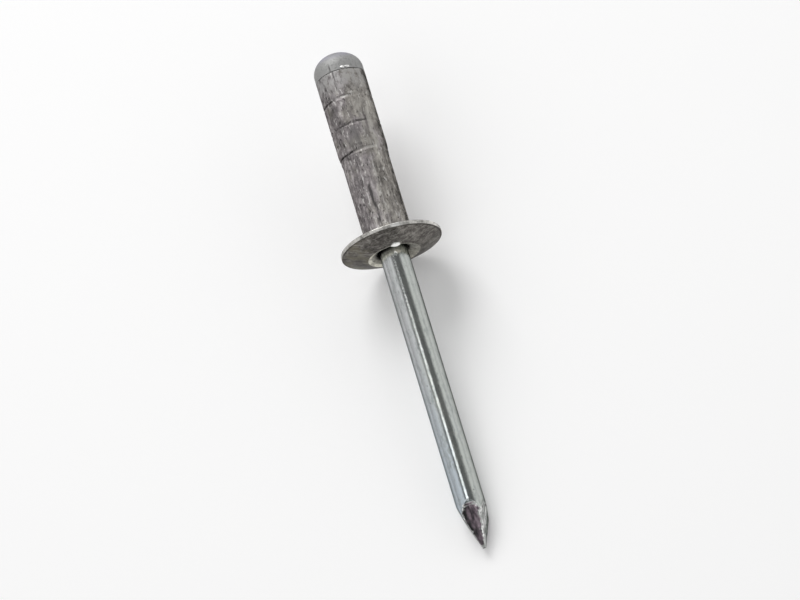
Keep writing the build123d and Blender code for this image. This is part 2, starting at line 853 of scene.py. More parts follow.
@dataclass
class RivetBody(TurnedPiece):
    """The hollow aluminium body: grooved shank, domed flange, flared mouth and bore.

    Places along it count from the bearing face, positive towards the point.
    """

    name: ClassVar[str] = "rivet_body_worked"
    node: ClassVar[str] = "rivet_body"
    slot: ClassVar[Slot] = Slot.BODY
    is_ring: ClassVar[bool] = True

    band_radius: float = 2.4 * MM
    shank_radius: float = 2.275 * MM
    tail_place: float = -17.5 * MM
    tail_chamfer: float = 0.08 * MM
    band_length: float = 2.8 * MM
    taper_length: float = 1.3 * MM
    taper_start: float = tail_place + 3 * band_length - taper_length / 2
    taper_end: float = taper_start + taper_length
    root_radius: float = 0.2 * MM
    flange_radius: float = 4.898 * MM
    flange_height: float = 1.3 * MM
    rim_thickness: float = 0.38 * MM
    rim_edge_radius: float = 0.1 * MM
    rim_corner_radius: float = 0.035 * MM
    dome_slope: float = 23.0
    bore_radius: float = 1.425 * MM
    bore_chamfer: float = 0.2 * MM
    throat_radius: float = bore_radius + 0.2 * MM
    throat_top: float = flange_height - 0.38 * MM
    throat_foot: float = throat_top - 0.55 * MM
    crest_place_radius: float = throat_radius + 0.86 * MM
    crest_radius: float = 0.22 * MM

    # How finely it is cut: the longest step of each line and the step count of each arc
    segments: int = 220
    tail_step: float = 0.25 * MM
    band_step: float = 0.055 * MM
    taper_step: float = 0.05 * MM
    shank_step: float = 0.11 * MM
    back_step: float = 0.2 * MM
    land_step: float = 0.06 * MM
    flare_step: float = 0.09 * MM
    throat_step: float = 0.12 * MM
    bore_step: float = 4.0 * MM
    root_steps: int = 8
    edge_steps: int = 7
    rim_steps: int = 5
    dome_steps: int = 36
    crest_steps: int = 7
    neck_steps: int = 8

    draw_ridge: float = 0.006 * MM
    draw_grains: tuple[Grain, ...] = (
        Grain((3.2, 3.2, 0.12)),
        Grain((6.0, 6.0, 0.25), shift=(0.0, 0.0, 7.0), share=0.6),
    )
    out_of_round: Grain = Grain((0.45, 0.45, 0.18), shift=(0.0, 0.0, 3.0), share=0.012 * MM)
    press_ripple: Grain = Grain((1.1, 1.1, 1.1), share=0.006 * MM)
    ripple_border: float = 1.5 * rim_thickness
    groove_depth: float = 0.05 * MM
    groove_half_width: float = 0.17 * MM
    groove_drift: Grain = Grain((0.5, 0.5, 5.0), share=0.05 * MM)
    groove_mean: float = 0.85
    groove_grain: Grain = Grain((0.7, 0.7, 5.0), shift=(0.0, 0.0, 11.0), share=0.5)
    groove_lip: float = 0.25
    lip_angle: float = 18.0
    lip_half_angle: float = 14.0
    lip_half_width: float = 0.22 * MM
    lip_height: float = 0.17 * MM

    mouth_border: float = crest_place_radius + 0.05 * MM
    rim_border: float = flange_radius - 0.03 * MM
    root_border: float = -0.5 * root_radius
    # Each groove is darkened by dirt and painted shade over its dark stretch, with a painted highlight
    # beside it; the tail joint is darkened all round.
    grooves: tuple[RolledGroove, ...] = (
        RolledGroove(tail_place + band_length, dark_start=-2.6, dark_end=-0.75, dirt_and_shade=0.9, painted_highlight=0.55),
        RolledGroove(tail_place + 2 * band_length, dark_start=-1.7, dark_end=1.5, dirt_and_shade=0.75, painted_highlight=0.0),
        RolledGroove(tail_place + 3 * band_length, dark_start=-2.2, dark_end=0.25, dirt_and_shade=1.0, painted_highlight=0.4),
    )
    tail_joint: RolledGroove = RolledGroove(tail_place, dark_start=-2.6, dark_end=2.6, dirt_and_shade=0.6, painted_highlight=0.0)

    # Each mark's angle, radius, start, end, half width, strength and colour
    marks: tuple[LengthMark, ...] = (
        LengthMark(-11.5, shank_radius, -8.6 * MM, -0.4 * MM, 0.075 * MM, 0.8, (0.66, 0.65, 0.64)),
        LengthMark(-0.5, shank_radius, -8.8 * MM, -0.3 * MM, 0.27 * MM, 0.95, (0.07, 0.066, 0.066)),
        LengthMark(24.0, shank_radius, -8.4 * MM, -0.6 * MM, 0.09 * MM, 0.5, (0.60, 0.59, 0.57)),
        LengthMark(52.0, shank_radius, -8.0 * MM, -4.0 * MM, 0.10 * MM, 0.7, (0.08, 0.075, 0.07)),
        LengthMark(1.0, band_radius, -11.6 * MM, -9.3 * MM, 1.05 * MM, 0.6, (0.14, 0.136, 0.136)),
        LengthMark(42.0, band_radius, -14.2 * MM, -9.2 * MM, 0.95 * MM, 0.6, (0.50, 0.485, 0.45)),
        LengthMark(-10.0, band_radius, -17.5 * MM, -15.6 * MM, 0.13 * MM, 0.85, (0.75, 0.74, 0.72)),
        LengthMark(-5.0, band_radius, -17.6 * MM, -15.4 * MM, 0.17 * MM, 0.8, (0.09, 0.085, 0.085)),
    )

    # Each spot's angle, radius, place along, and half sizes around, outwards and along
    crest_spot: PolishedSpot = PolishedSpot(18.0, 2.50 * MM, 1.30 * MM, 0.50 * MM, 0.42 * MM, 0.60 * MM)
    rim_spot: PolishedSpot = PolishedSpot(
        20.0, 4.89 * MM, 0.30 * MM, 0.70 * MM, 0.20 * MM, 0.40 * MM, softness=1.3
    )

    def outline(self) -> list[ProfilePoint]:
        """The closed outline, from the bore's tail end over the outside and back through the mouth.

        Returns:
            The outline's points in order, without the first one again at the end.
        """
        tail_inside = (self.tail_place, self.bore_radius + self.bore_chamfer)
        tail_outside = (self.tail_place, self.band_radius - self.tail_chamfer)
        band_start = (self.tail_place + self.tail_chamfer, self.band_radius)
        taper_start = (self.taper_start, self.band_radius)
        taper_end = (self.taper_end, self.shank_radius)
        root = (-self.root_radius, self.shank_radius + self.root_radius)
        edge = (self.rim_edge_radius, self.flange_radius - self.rim_edge_radius)
        points = [(self.tail_place + self.bore_chamfer, self.bore_radius)]
        points += line_points(tail_inside, tail_outside, self.tail_step)
        points += line_points(band_start, taper_start, self.band_step)
        points += line_points(taper_start, taper_end, self.taper_step)
        points += line_points(taper_end, (root[0], self.shank_radius), self.shank_step)
        points += arc_points(root, self.root_radius, HALF_TURN, QUARTER_TURN, self.root_steps)
        points += line_points((0.0, root[1]), (0.0, edge[1]), self.back_step)
        points += arc_points(edge, self.rim_edge_radius, -QUARTER_TURN, 0.0, self.edge_steps)
        points += self._face_points(points[-1])
        return without_repeats(points)

    def _face_points(self, land_start: ProfilePoint) -> list[ProfilePoint]:
        """The rim's land, the dome, the crest, the flared mouth and the bore.

        Args:
            land_start: Where the rim's land begins, at its back.

        Returns:
            The points from the rim inwards and on to the bore's tail end.
        """
        rim_end = (self.rim_thickness, self.flange_radius)
        crest = (self.flange_height, self.crest_place_radius)
        throat = (self.throat_top, self.throat_radius)
        bore_start = (self.throat_foot, self.bore_radius)
        bore_end = (self.tail_place + self.bore_chamfer, self.bore_radius)
        dome = self._dome_points(rim_end, crest)
        rim = rounded_corner(land_start, rim_end, dome[1], self.rim_corner_radius, self.rim_steps)
        mouth = rounded_corner(dome[-2], crest, throat, self.crest_radius, self.crest_steps)
        neck = rounded_corner(crest, throat, bore_start, self.crest_radius, self.neck_steps)
        land = line_points(land_start, rim[0], self.land_step)
        flare = line_points(mouth[-1], neck[0], self.flare_step)
        throat_wall = line_points(neck[-1], bore_start, self.throat_step)
        bore = line_points(bore_start, bore_end, self.bore_step)
        return land + rim + dome[1:-2] + mouth + flare + neck + throat_wall + bore[:-1]

    def _dome_points(self, rim_end: ProfilePoint, crest: ProfilePoint) -> list[ProfilePoint]:
        """The dome's arc, which leaves the rim at the dome's slope.

        Args:
            rim_end: Where the dome meets the rim.
            crest: Where it ends at the mouth.

        Returns:
            The arc's points, from the rim to the crest.
        """
        slope = math.radians(self.dome_slope)
        turn = slope - math.atan2(crest[0] - rim_end[0], rim_end[1] - crest[1])
        radius = math.dist(rim_end, crest) / 2.0 / math.sin(turn)
        centre = (rim_end[0] - radius * math.cos(slope), rim_end[1] - radius * math.sin(slope))
        start = QUARTER_TURN - self.dome_slope
        return arc_points(centre, radius, start, start + math.degrees(2.0 * turn), self.dome_steps)

    def surface_at(self, at: TurnedPoint) -> ProfilePoint:
        """The worked surface, with draw ridges, rolled grooves, the press's ripple and the mouth's lip.

        Args:
            at: The point of the plain turned form.

        Returns:
            The place and the radius with the surface's unevenness.
        """
        if at.r < self.bore_radius + self.bore_chamfer:
            return at.z, at.r
        place = at.in_mm
        if at.z > -self.root_radius:
            fade = held((self.flange_radius - at.r) / self.ripple_border)
            return at.z + self._lip(at), at.r + fade * self.press_ripple.at(place)
        ridge = self.draw_ridge * sum(grain.at(place) for grain in self.draw_grains)
        return at.z, at.r + ridge + self.out_of_round.at(place) - self._groove_cut(at)

    def _lip(self, at: TurnedPoint) -> float:
        """How far the mouth's edge is turned up at the one place where the mandrel has dragged it out.

        Args:
            at: The point of the plain turned form.

        Returns:
            The height, which is 0 away from that place.
        """
        if at.z < self.throat_top:
            return 0.0
        aside = (at.degrees - self.lip_angle) / self.lip_half_angle
        out = (at.r - self.crest_place_radius) / self.lip_half_width
        return self.lip_height * max(0.0, 1.0 - aside * aside - out * out) ** 2

    def _groove_cut(self, at: TurnedPoint) -> float:
        """How deep a rolled groove lies, with the small lip that the roll throws up beside it.

        Args:
            at: The point of the plain turned form.

        Returns:
            The depth, which is below 0 on a lip.
        """
        cut = 0.0
        x, y, _ = at.in_mm
        for number, groove in enumerate(self.grooves):
            away = abs(at.z - groove.place - self.groove_drift.at((x, y, number))) / self.groove_half_width
            depth = self.groove_depth * (self.groove_mean + self.groove_grain.at((x, y, number)))
            if away < 1.0:
                cut += depth * (1.0 - away * away)
            elif away < 2.0:
                cut -= self.groove_lip * depth * math.sin(math.pi * (away - 1.0))
        return cut

    def finish_at(self, at: TurnedPoint) -> BodyFinish:
        """The finish of a face.

        Args:
            at: The face's middle.

        Returns:
            The finish's name.
        """
        if at.z > self.throat_foot and at.r < self.mouth_border:
            return BodyFinish.MOUTH
        if at.r > self.rim_border:
            return BodyFinish.RIM
        return BodyFinish.PRESSED if at.z > self.root_border else BodyFinish.DRAWN

    def finishes(self) -> dict[Enum, Finish]:
        """The body's finishes.

        Returns:
            Each finish by its name, in the order of the mesh's materials.
        """
        dull, bright = (0.20, 0.193, 0.182), (0.70, 0.685, 0.65)
        return {
            BodyFinish.DRAWN: self._drawn(),
            BodyFinish.PRESSED: self._pressed(),
            BodyFinish.RIM: rubbed_metal("rubbed_rim", dull, bright, (0.46, 0.32), self.rim_spot.layer()),
            BodyFinish.MOUTH: self._mouth(),
        }

    def _drawn(self) -> Finish:
        """The shank: dull aluminium, drawn lengthwise, mottled, with dirt and painted shade in its rolled
        grooves and painted highlights beside them, painted shade along its side towards +X, and painted
        light that lifts that side a little.

        Returns:
            The finish.
        """
        dark, middle, light = (0.125, 0.120, 0.120), (0.305, 0.294, 0.294), (0.56, 0.55, 0.545)
        rosy, straw = (1.0, 0.958, 0.965), (1.0, 0.978, 0.91)
        painted_side_shade, smear = (0.060, 0.057, 0.055), (0.46, 0.455, 0.45)
        streaks = Cloud(4.6, stretch=9.0, rough=0.6)
        broad_streaks = Cloud(1.5, stretch=12.0, detail=2.0, shift=17.0)
        mottle = Cloud(1.7, stretch=1.4, detail=6.0, rough=0.74, shift=41.0)
        zones = Cloud(0.5, stretch=1.2, detail=2.0, shift=91.0)
        tint = Cloud(0.8, stretch=1.6, shift=73.0) + ACROSS * 0.07
        pits = Cloud(5.2, stretch=2.2, shift=5.0).eased(0.58, 0.68, to_high=0.8)
        glints = Cloud(4.4, stretch=2.6, shift=67.0).eased(0.58, 0.69, to_high=0.55)
        lines = (streaks - 0.5) * ALONG.eased(-9.8, -8.6, 0.10, 0.26)
        # ACROSS * 0.012 is painted light: it makes the shank a little lighter towards +X.
        tone = lines + mottle * 0.56 + broad_streaks * 0.22 + zones * 0.18 + ACROSS * 0.012 + 0.02
        smeared = ALONG.eased(-17.0, -14.4, 0.75, 0.0) * UP.eased(-0.6, 0.8) * mottle.eased(0.36, 0.54)
        # Painted shade: a dark, mottled band along the side 70° to 117° from the top, towards +X, standing
        # in for the shadowed floor that this edge reflects.
        side_shade_mask = AROUND.between(1.22, 2.05, soft=0.15) * mottle.eased(0.36, 0.64, 0.88, 0.40)
        layers = [
            Layer(Tones(tint, ((0.40, rosy), (0.62, straw)), Ramp.EASE), 1.0, Mixing.TINT),
            Layer(RolledGroove.grime_and_shade, pits),
            Layer(RolledGroove.wear_and_painted_light, glints),
            Layer(smear, smeared),
            Layer(painted_side_shade, side_shade_mask),
            *(mark.layer() for mark in self.marks),
        ]
        for groove in (*self.grooves, self.tail_joint):
            layers += groove.layers()
        return Finish(
            name="drawn_aluminium",
            ground=Tones(tone, ((0.38, dark), (0.50, middle), (0.62, light))),
            layers=layers,
            roughness=mottle.ranging(0.54, 0.70),
            relief=streaks * 0.45 + mottle * 0.55,
            depth=0.022 * MM,
            edge_tint=0.10,
        )

    def _pressed(self) -> Finish:
        """The flange's faces: darker aluminium as the press leaves it, mottled and scratched all ways, with
        painted shade in the crease inside the rim's land and painted light towards +X.

        Returns:
            The finish.
        """
        dark, middle, light = (0.062, 0.057, 0.053), (0.138, 0.128, 0.118), (0.33, 0.312, 0.288)
        olive, scratch = (0.17, 0.158, 0.122), (0.42, 0.405, 0.38)
        rim = self.flange_radius / MM
        mottle = Cloud(1.3, detail=6.0, rough=0.70)
        tone = mottle * 0.66 + Cloud(5.0, shift=13.0) * 0.34
        # Painted light: the face is made lighter towards +X.
        side_lit_tone = tone + ACROSS.eased(-0.6, 2.4, -0.022, 0.038)
        patches = Cloud(0.6, detail=2.0, shift=37.0).eased(0.40, 0.56, to_high=0.75)
        # Painted shade: a broken dark ring in the crease just inside the rim's land.
        crease_shade_breaks = Cloud(0.9, shift=7.0).eased(0.36, 0.56, 0.2, 0.85)
        crease_shade = OUT.between(rim - 0.17, rim - 0.03, soft=0.04) * crease_shade_breaks
        scratches = (Scratches(18.0, shift=3.0), Scratches(62.0, shift=19.0), Scratches(-35.0, shift=47.0))
        polished = self.crest_spot.layer()
        layers = [
            Layer(olive, patches * ACROSS.eased(-2.6, -1.2, 1.0, 0.0)),
            *(Layer(scratch, lines.eased(0.62, 0.70) * 0.28) for lines in scratches),
            Layer(dark, crease_shade),
            polished,
        ]
        return Finish(
            name="pressed_aluminium",
            ground=Tones(side_lit_tone, ((0.38, dark), (0.50, middle), (0.63, light))),
            layers=layers,
            roughness=mottle.ranging(0.36, 0.52) + polished.amount * -0.15,
            relief=tone,
            depth=0.016 * MM,
            edge_tint=0.6,
        )

    def _mouth(self) -> Finish:
        """The flared mouth: rubbed by the mandrel, with a bright crest whose wear painted light makes
        stronger towards -X, and painted shade deep in its throat.

        Returns:
            The finish.
        """
        dull, bright = (0.15, 0.142, 0.122), (0.44, 0.423, 0.37)
        straw, grime_and_shade = (0.95, 0.92, 0.80), (0.03, 0.028, 0.025)
        crest = self.crest_place_radius / MM
        # The crest's straw ring is wear, made stronger towards -X by painted light.
        ring = OUT.between(crest - 0.32, crest + 0.08, soft=0.08) * ACROSS.eased(-1.2, 0.8, 1.0, 0.15)
        wear_and_painted_light = Layer(straw, ring * Cloud(1.1, shift=83.0).eased(0.36, 0.52, to_low=0.4))
        # Painted shade: the throat is darkened, most towards -X.
        throat = OUT.eased(crest - 0.85, crest - 0.55, 1.0, 0.0) * ACROSS.eased(-0.6, 0.6, 1.0, 0.4)
        layers = (wear_and_painted_light, Layer(grime_and_shade, throat), self.crest_spot.layer())
        return rubbed_metal("burnished_mouth", dull, bright, (0.42, 0.25), *layers)


@dataclass(frozen=True)
class PinchFlat:
    """One flat of the pinched point: the way it faces, its start, how steeply it runs in, its finish."""

    facing: float
    start: float
    slope: float
    finish: MandrelFinish
    least_share: ClassVar[float] = 0.2
    unmet_share: ClassVar[float] = 2.0

    def reach(self, at: TurnedPoint, radius: float) -> float:
        """How far from the axis the flat lies.

        Args:
            at: A point with the place along the axis and the turn about it.
            radius: The wire's radius.

        Returns:
            The distance, or one well outside the wire where the flat isn't met.
        """
        across = math.cos(at.angle - math.radians(self.facing))
        if across < self.least_share:
            return self.unmet_share * radius
        return (radius - (at.z - self.start) * math.tan(math.radians(self.slope))) / across


@dataclass
class Mandrel(TurnedPiece):
    """The steel mandrel: domed head, break neck, plain shank and pinched point.

    Places along it count from the bearing face, positive towards the point.
    """

    name: ClassVar[str] = "mandrel_worked"
    node: ClassVar[str] = "mandrel"
    slot: ClassVar[Slot] = Slot.MANDREL
    is_ring: ClassVar[bool] = False

    radius: float = 1.375 * MM
    head_radius: float = 2.4 * MM
    seat_place: float = -17.5 * MM
    head_height: float = 2.494 * MM
    crown_height: float = 1.9 * MM
    root_chamfer: float = 0.2 * MM
    neck_place: float = seat_place + 1.1 * MM
    neck_half_width: float = 0.5 * MM
    neck_radius: float = 0.95 * MM
    point_start: float = 27.0 * MM
    point_tip: float = 31.4 * MM
    point_end_radius: float = 0.15 * MM
    pinch_start: float = point_start - 0.2 * MM
    pinch_slope: float = 15.56

    # The way each flat faces, its start, its slope and its finish
    flats: tuple[PinchFlat, ...] = (
        PinchFlat(0.0, point_start, pinch_slope, MandrelFinish.SHEARED),
        PinchFlat(42.0, 27.644 * MM, 17.76, MandrelFinish.SMEARED),
        PinchFlat(80.0, point_start, pinch_slope, MandrelFinish.SMEARED),
        PinchFlat(180.0, point_start, pinch_slope, MandrelFinish.SHEARED),
        PinchFlat(278.0, point_start, pinch_slope, MandrelFinish.SMEARED),
    )
    edge_softness: float = 0.07 * MM
    least_radius: float = 0.6 * point_end_radius

    # How finely it is cut: the crown's step count and the longest step of each line
    segments: int = 240
    crown_steps: int = 48
    land_step: float = 0.03 * MM
    seat_step: float = 0.3 * MM
    shank_step: float = 0.3 * MM
    point_step: float = 0.03 * MM

    flash_angle: float = 27.0
    flash_half_angle: float = 12.0
    flash_height: float = 0.075 * MM
    flash_length: float = 0.28 * MM
    flash_mean: float = 0.65
    flash_grain: Grain = Grain((0.21, 0.0, 0.0), shift=(0.0, 3.0, 0.0), share=1.3)
    flash_end: float = 3.0
    tear_depth: float = 0.02 * MM
    tear_grains: tuple[Grain, ...] = (Grain((4.0, 4.0, 0.8)), Grain((9.0, 9.0, 2.0), share=0.5))
    tear_offset: float = 0.6
    tear_onset: float = 0.15 * MM
    tear_full_radius: float = 0.6 * MM
    burr_height: float = 0.09 * MM
    burr_width: float = 0.14 * MM
    burr_mean: float = 0.45
    burr_grains: tuple[Grain, ...] = (
        Grain((0.0, 0.0, 2.6), shift=(3.0, 7.0, 0.0), share=0.9),
        Grain((0.0, 0.0, 6.0), shift=(5.0, 1.0, 0.0), share=0.4),
    )
    burr_end: float = 1.2 * MM
    lip_height: float = 0.04 * MM
    lip_width: float = 0.055 * MM

    flash_border: float = 0.02 * MM
    head_border: float = seat_place + 0.1 * MM
    shank_border: float = point_start - 0.1 * MM
    border_ragged: float = 0.30 * MM
    border_grains: tuple[Grain, ...] = (
        Grain((0.0, 0.0, 2.2), shift=(8.0, 2.0, 0.0)),
        Grain((0.0, 0.0, 6.0), shift=(1.0, 4.0, 0.0), share=0.6),
    )
    bright_edge: float = 0.05 * MM
    bright_end: float = 0.28 * MM

    # The spot's angle, radius, place along, and half sizes around, outwards and along
    spot: PolishedSpot = PolishedSpot(24.0, radius, 1.48 * MM, 0.36 * MM, 0.5 * MM, 0.22 * MM)

    # The mark's angle, radius, start, end, half width, strength and colour
    head_mark: LengthMark = LengthMark(
        -9.0, head_radius, -18.2 * MM, -17.4 * MM, 0.12 * MM, 0.8, (0.10, 0.095, 0.095)
    )

    def outline(self) -> list[ProfilePoint]:
        """The open outline, from the head's top to the point's end.

        Returns:
            The outline's points in order, with both ends on the axis.
        """
        crown_foot = self.seat_place - self.head_height + self.crown_height
        seat_edge = (self.seat_place, self.head_radius)
        pinch = (self.pinch_start, self.radius)
        points = [(crown_foot - self.crown_height, 0.0)]
        for step in range(1, self.crown_steps + 1):
            turn = math.radians(QUARTER_TURN * step / self.crown_steps)
            place = crown_foot - self.crown_height * math.cos(turn)
            points.append((place, self.head_radius * math.sin(turn)))
        points += line_points(points[-1], seat_edge, self.land_step)
        points += line_points(seat_edge, (self.seat_place, self.radius + self.root_chamfer), self.seat_step)
        points.append((self.seat_place + self.root_chamfer, self.radius))
        points.append((self.neck_place - self.neck_half_width, self.radius))
        points.append((self.neck_place, self.neck_radius))
        points.append((self.neck_place + self.neck_half_width, self.radius))
        points += line_points((0.0, self.radius), pinch, self.shank_step)
        points += line_points(pinch, (self.point_tip, self.radius), self.point_step)
        points += [(self.point_tip, self.radius / 2.0), (self.point_tip, 0.0)]
        return without_repeats(points)

    def surface_at(self, at: TurnedPoint) -> ProfilePoint:
        """The worked surface, with the head's flash and the pinched flats cut off the round shank.

        Args:
            at: The point of the plain turned form.

        Returns:
            The place, and the radius with the flats and the surface's unevenness.
        """
        if at.z < self.pinch_start:
            return at.z, at.r + self._flash(at)
        reaches = sorted(flat.reach(at, self.radius) for flat in self.flats)
        limit = self.radius
        for reach in reaches:
            limit = soft_least(limit, reach, self.edge_softness)
        limit = max(limit, self.least_radius)
        depth = held((self.radius - limit) / self.tear_onset)
        place = replace(at, r=limit).in_mm
        tear = sum(grain.at(place) for grain in self.tear_grains) - self.tear_offset
        torn = limit + depth * self.tear_depth * tear * min(1.0, limit / self.tear_full_radius)
        worked = torn + depth * self._burr(at, reaches) + self._lip(at)
        return at.z, at.r / self.radius * worked

    def _flash(self, at: TurnedPoint) -> float:
        """How far the head's lower edge stands out at the one place where the upsetting die has left flash.

        Args:
            at: The point of the plain turned form.

        Returns:
            The height, which is 0 away from that place.
        """
        aside = abs(at.degrees - self.flash_angle) / self.flash_half_angle
        back = (self.seat_place - at.z) / self.flash_length
        if aside >= 1.0 or not 0.0 < back < 1.0:
            return 0.0
        ragged = max(0.0, self.flash_mean + self.flash_grain.at((at.degrees, 0.0, 0.0)))
        ends = min(1.0, self.flash_end * (1.0 - aside))
        return self.flash_height * ragged * math.sin(math.pi * back) * ends

    def _burr(self, at: TurnedPoint, reaches: Sequence[float]) -> float:
        """The ragged burr that stands along the edge between the upper flat and the one beside it.

        Args:
            at: The point of the plain turned form.
            reaches: How far from the axis the flats lie there, nearest first.

        Returns:
            The burr's height.
        """
        beside = 1.0 - (reaches[1] - reaches[0]) / self.burr_width
        if beside <= 0.0 or not 0.0 < at.angle < math.pi / 2.0:
            return 0.0
        ragged = max(0.0, self.burr_mean + sum(grain.at(at.in_mm) for grain in self.burr_grains))
        return self.burr_height * beside * ragged * held((self.point_tip - at.z) / self.burr_end)

    def _lip(self, at: TurnedPoint) -> float:
        """The low lip that the pinching throws up where the upper flat leaves the round shank."""
        away = abs(self.flats[0].reach(at, self.radius) - self.radius) / self.lip_width
        return self.lip_height * max(0.0, 1.0 - away)

    def finish_at(self, at: TurnedPoint) -> MandrelFinish:
        """The finish of a face.

        Args:
            at: The face's middle.

        Returns:
            The finish's name.
        """
        if self._flash(at) > self.flash_border:
            return MandrelFinish.FLASH
        if at.z < self.head_border:
            return MandrelFinish.HEAD
        if at.z < self.shank_border:
            return MandrelFinish.ZINC
        reaches = {flat: flat.reach(at, self.radius) for flat in self.flats}
        ragged = sum(grain.at(at.in_mm) for grain in self.border_grains)
        reaches[self.flats[0]] += self.border_ragged * ragged
        nearest = min(reaches, key=reaches.get)
        if reaches[nearest] > self.radius + self.bright_edge:
            return MandrelFinish.ZINC
        if at.z > self.point_tip - self.bright_end:
            return MandrelFinish.SMEARED
        if reaches[nearest] > self.radius - self.bright_edge:
            return MandrelFinish.SMEARED if nearest.finish is MandrelFinish.SHEARED else MandrelFinish.ZINC
        return nearest.finish

    def finishes(self) -> dict[Enum, Finish]:
        """The mandrel's finishes.

        Returns:
            Each finish by its name, in the order of the mesh's materials.
        """
        dull, bright = (0.80, 0.79, 0.77), (0.97, 0.97, 0.96)
        return {
            MandrelFinish.ZINC: self._zinc(),
            MandrelFinish.HEAD: self._head(),
            MandrelFinish.SHEARED: self._sheared(),
            MandrelFinish.SMEARED: self._smeared(),
            MandrelFinish.FLASH: rubbed_metal("bright_flash", dull, bright, (0.34, 0.22)),
        }

    def _zinc(self) -> Finish:
        """The shank: bright zinc over drawn wire, grey to bluish to greenish, finely pebbled.

        Returns:
            The finish.
        """
        bluish, greenish = (0.475, 0.525, 0.565), (0.50, 0.525, 0.50)
        stain, speck = (0.33, 0.36, 0.35), (0.13, 0.14, 0.135)
        lines = Cloud(6.0, stretch=40.0, rough=0.6)
        film = Cloud(0.8, stretch=5.0, shift=23.0)
        pebbles = Cloud(6.0, stretch=1.8, rough=0.6, shift=97.0)
        stains = Cloud(2.6, stretch=3.0, detail=6.0, rough=0.72, shift=57.0).eased(0.46, 0.66, to_high=0.7)
        specks = Cloud(3.6, stretch=1.6, detail=4.0, rough=0.6, shift=79.0).eased(0.64, 0.72, to_high=0.6)
        layers = [
            Layer(bluish, ALONG.eased(6.0, 27.0)),
            Layer(greenish, (film + ACROSS * 0.3).eased(0.25, 0.75)),
            Layer(stain, stains),
            Layer(speck, specks),
            self.spot.layer(),
        ]
        return Finish(
            name="bright_zinc",
            ground=(0.525, 0.535, 0.540),
            layers=layers,
            roughness=film.ranging(0.11, 0.20),
            relief=lines * 0.35 + stains * 0.25 + pebbles * 0.9,
            depth=0.0075 * MM,
            edge_tint=0.14,
        )

    def _head(self) -> Finish:
        """The head: satin zinc, smooth from the upsetting die, with a lilac film near its top and painted
        shade along its side towards +X.

        Returns:
            The finish.
        """
        lilac, wear_and_painted_light = (0.39, 0.385, 0.435), (0.27, 0.27, 0.265)
        film = Cloud(1.0)
        specks = Cloud(4.5, detail=4.0, rough=0.62, shift=31.0)
        layers = [
            Layer(lilac, ALONG.eased(-19.45, -18.55, 1.0, 0.0) * film.eased(0.34, 0.54, to_low=0.35)),
            Layer(wear_and_painted_light, specks.eased(0.54, 0.72, to_high=0.75)),
            # Painted shade: the side 74° to 115° from the top, towards +X, is darkened.
            Layer(wear_and_painted_light, AROUND.between(1.30, 2.0, soft=0.18) * film.ranging(0.7, 0.35)),
            self.head_mark.layer(),
        ]
        return Finish(
            name="satin_zinc_head",
            ground=(0.385, 0.385, 0.38),
            layers=layers,
            roughness=specks.ranging(0.62, 0.74),
            relief=specks,
            depth=0.006 * MM,
            edge_tint=0.55,
        )

    def _sheared(self) -> Finish:
        """The point's cut flats: bare steel as the pinching dies leave it, dark and torn lengthwise.

        Returns:
            The finish.
        """
        dark, middle, light = (0.055, 0.055, 0.056), (0.235, 0.19, 0.22), (0.50, 0.43, 0.46)
        tears = Cloud(2.6, stretch=4.0, detail=4.0, rough=0.62)
        return Finish(
            name="sheared_steel",
            ground=Tones(tears + ACROSS * 0.19, ((0.36, dark), (0.55, middle), (0.76, light))),
            layers=(),
            roughness=tears.ranging(0.32, 0.5),
            relief=tears,
            depth=0.02 * MM,
            edge_tint=0.6,
        )

    def _smeared(self) -> Finish:
        """The point's other flats and its edges: bright zinc that the dies have dragged and scratched.

        Returns:
            The finish.
        """
        dull, bright = (0.46, 0.475, 0.46), (0.97, 0.97, 0.96)
        stain, bare = (0.30, 0.325, 0.305), (0.085, 0.08, 0.082)
        drag = Cloud(3.0, stretch=4.0, detail=4.0, rough=0.62)
        layers = [
            Layer(stain, abs(AROUND).eased(1.65, 2.05, to_high=0.9)),
            Layer(bare, Cloud(2.8, stretch=1.8, detail=4.0, shift=61.0).eased(0.55, 0.64, to_high=0.9)),
        ]
        return Finish(
            name="smeared_zinc",
            ground=Tones(drag, ((0.40, dull), (0.58, bright))),
            layers=layers,
            roughness=drag.ranging(0.34, 0.20),
            relief=drag,
            depth=0.07 * MM,
            edge_tint=0.12,
        )


@dataclass(frozen=True)
class Panel:
    """A soft light panel, given by the place along the rivet that it shines at and the way to it."""

    name: str
    aim: float
    towards: Vector
    distance: float
    width: float
    length: float
    radiance: float

    def build(self, lying: LyingAxis) -> bpy.types.Object:
        """Hangs the panel up, facing the rivet.

        Args:
            lying: Where the rivet lies.

        Returns:
            The lamp.
        """
        lamp = bpy.data.lights.new(self.name, "AREA")
        lamp.shape = "RECTANGLE"
        lamp.size, lamp.size_y = self.width, self.length
        lamp.energy = self.radiance * math.pi * self.width * self.length
        hung = bpy.data.objects.new(self.name, lamp)
        bpy.context.scene.collection.objects.link(hung)
        way = self.towards.normalized()
        hung.location = lying.start + lying.along * self.aim + way * self.distance
        hung.rotation_mode = "QUATERNION"
        hung.rotation_quaternion = way.to_track_quat("Z", "Y")
        hung.visible_camera = False
        return hung


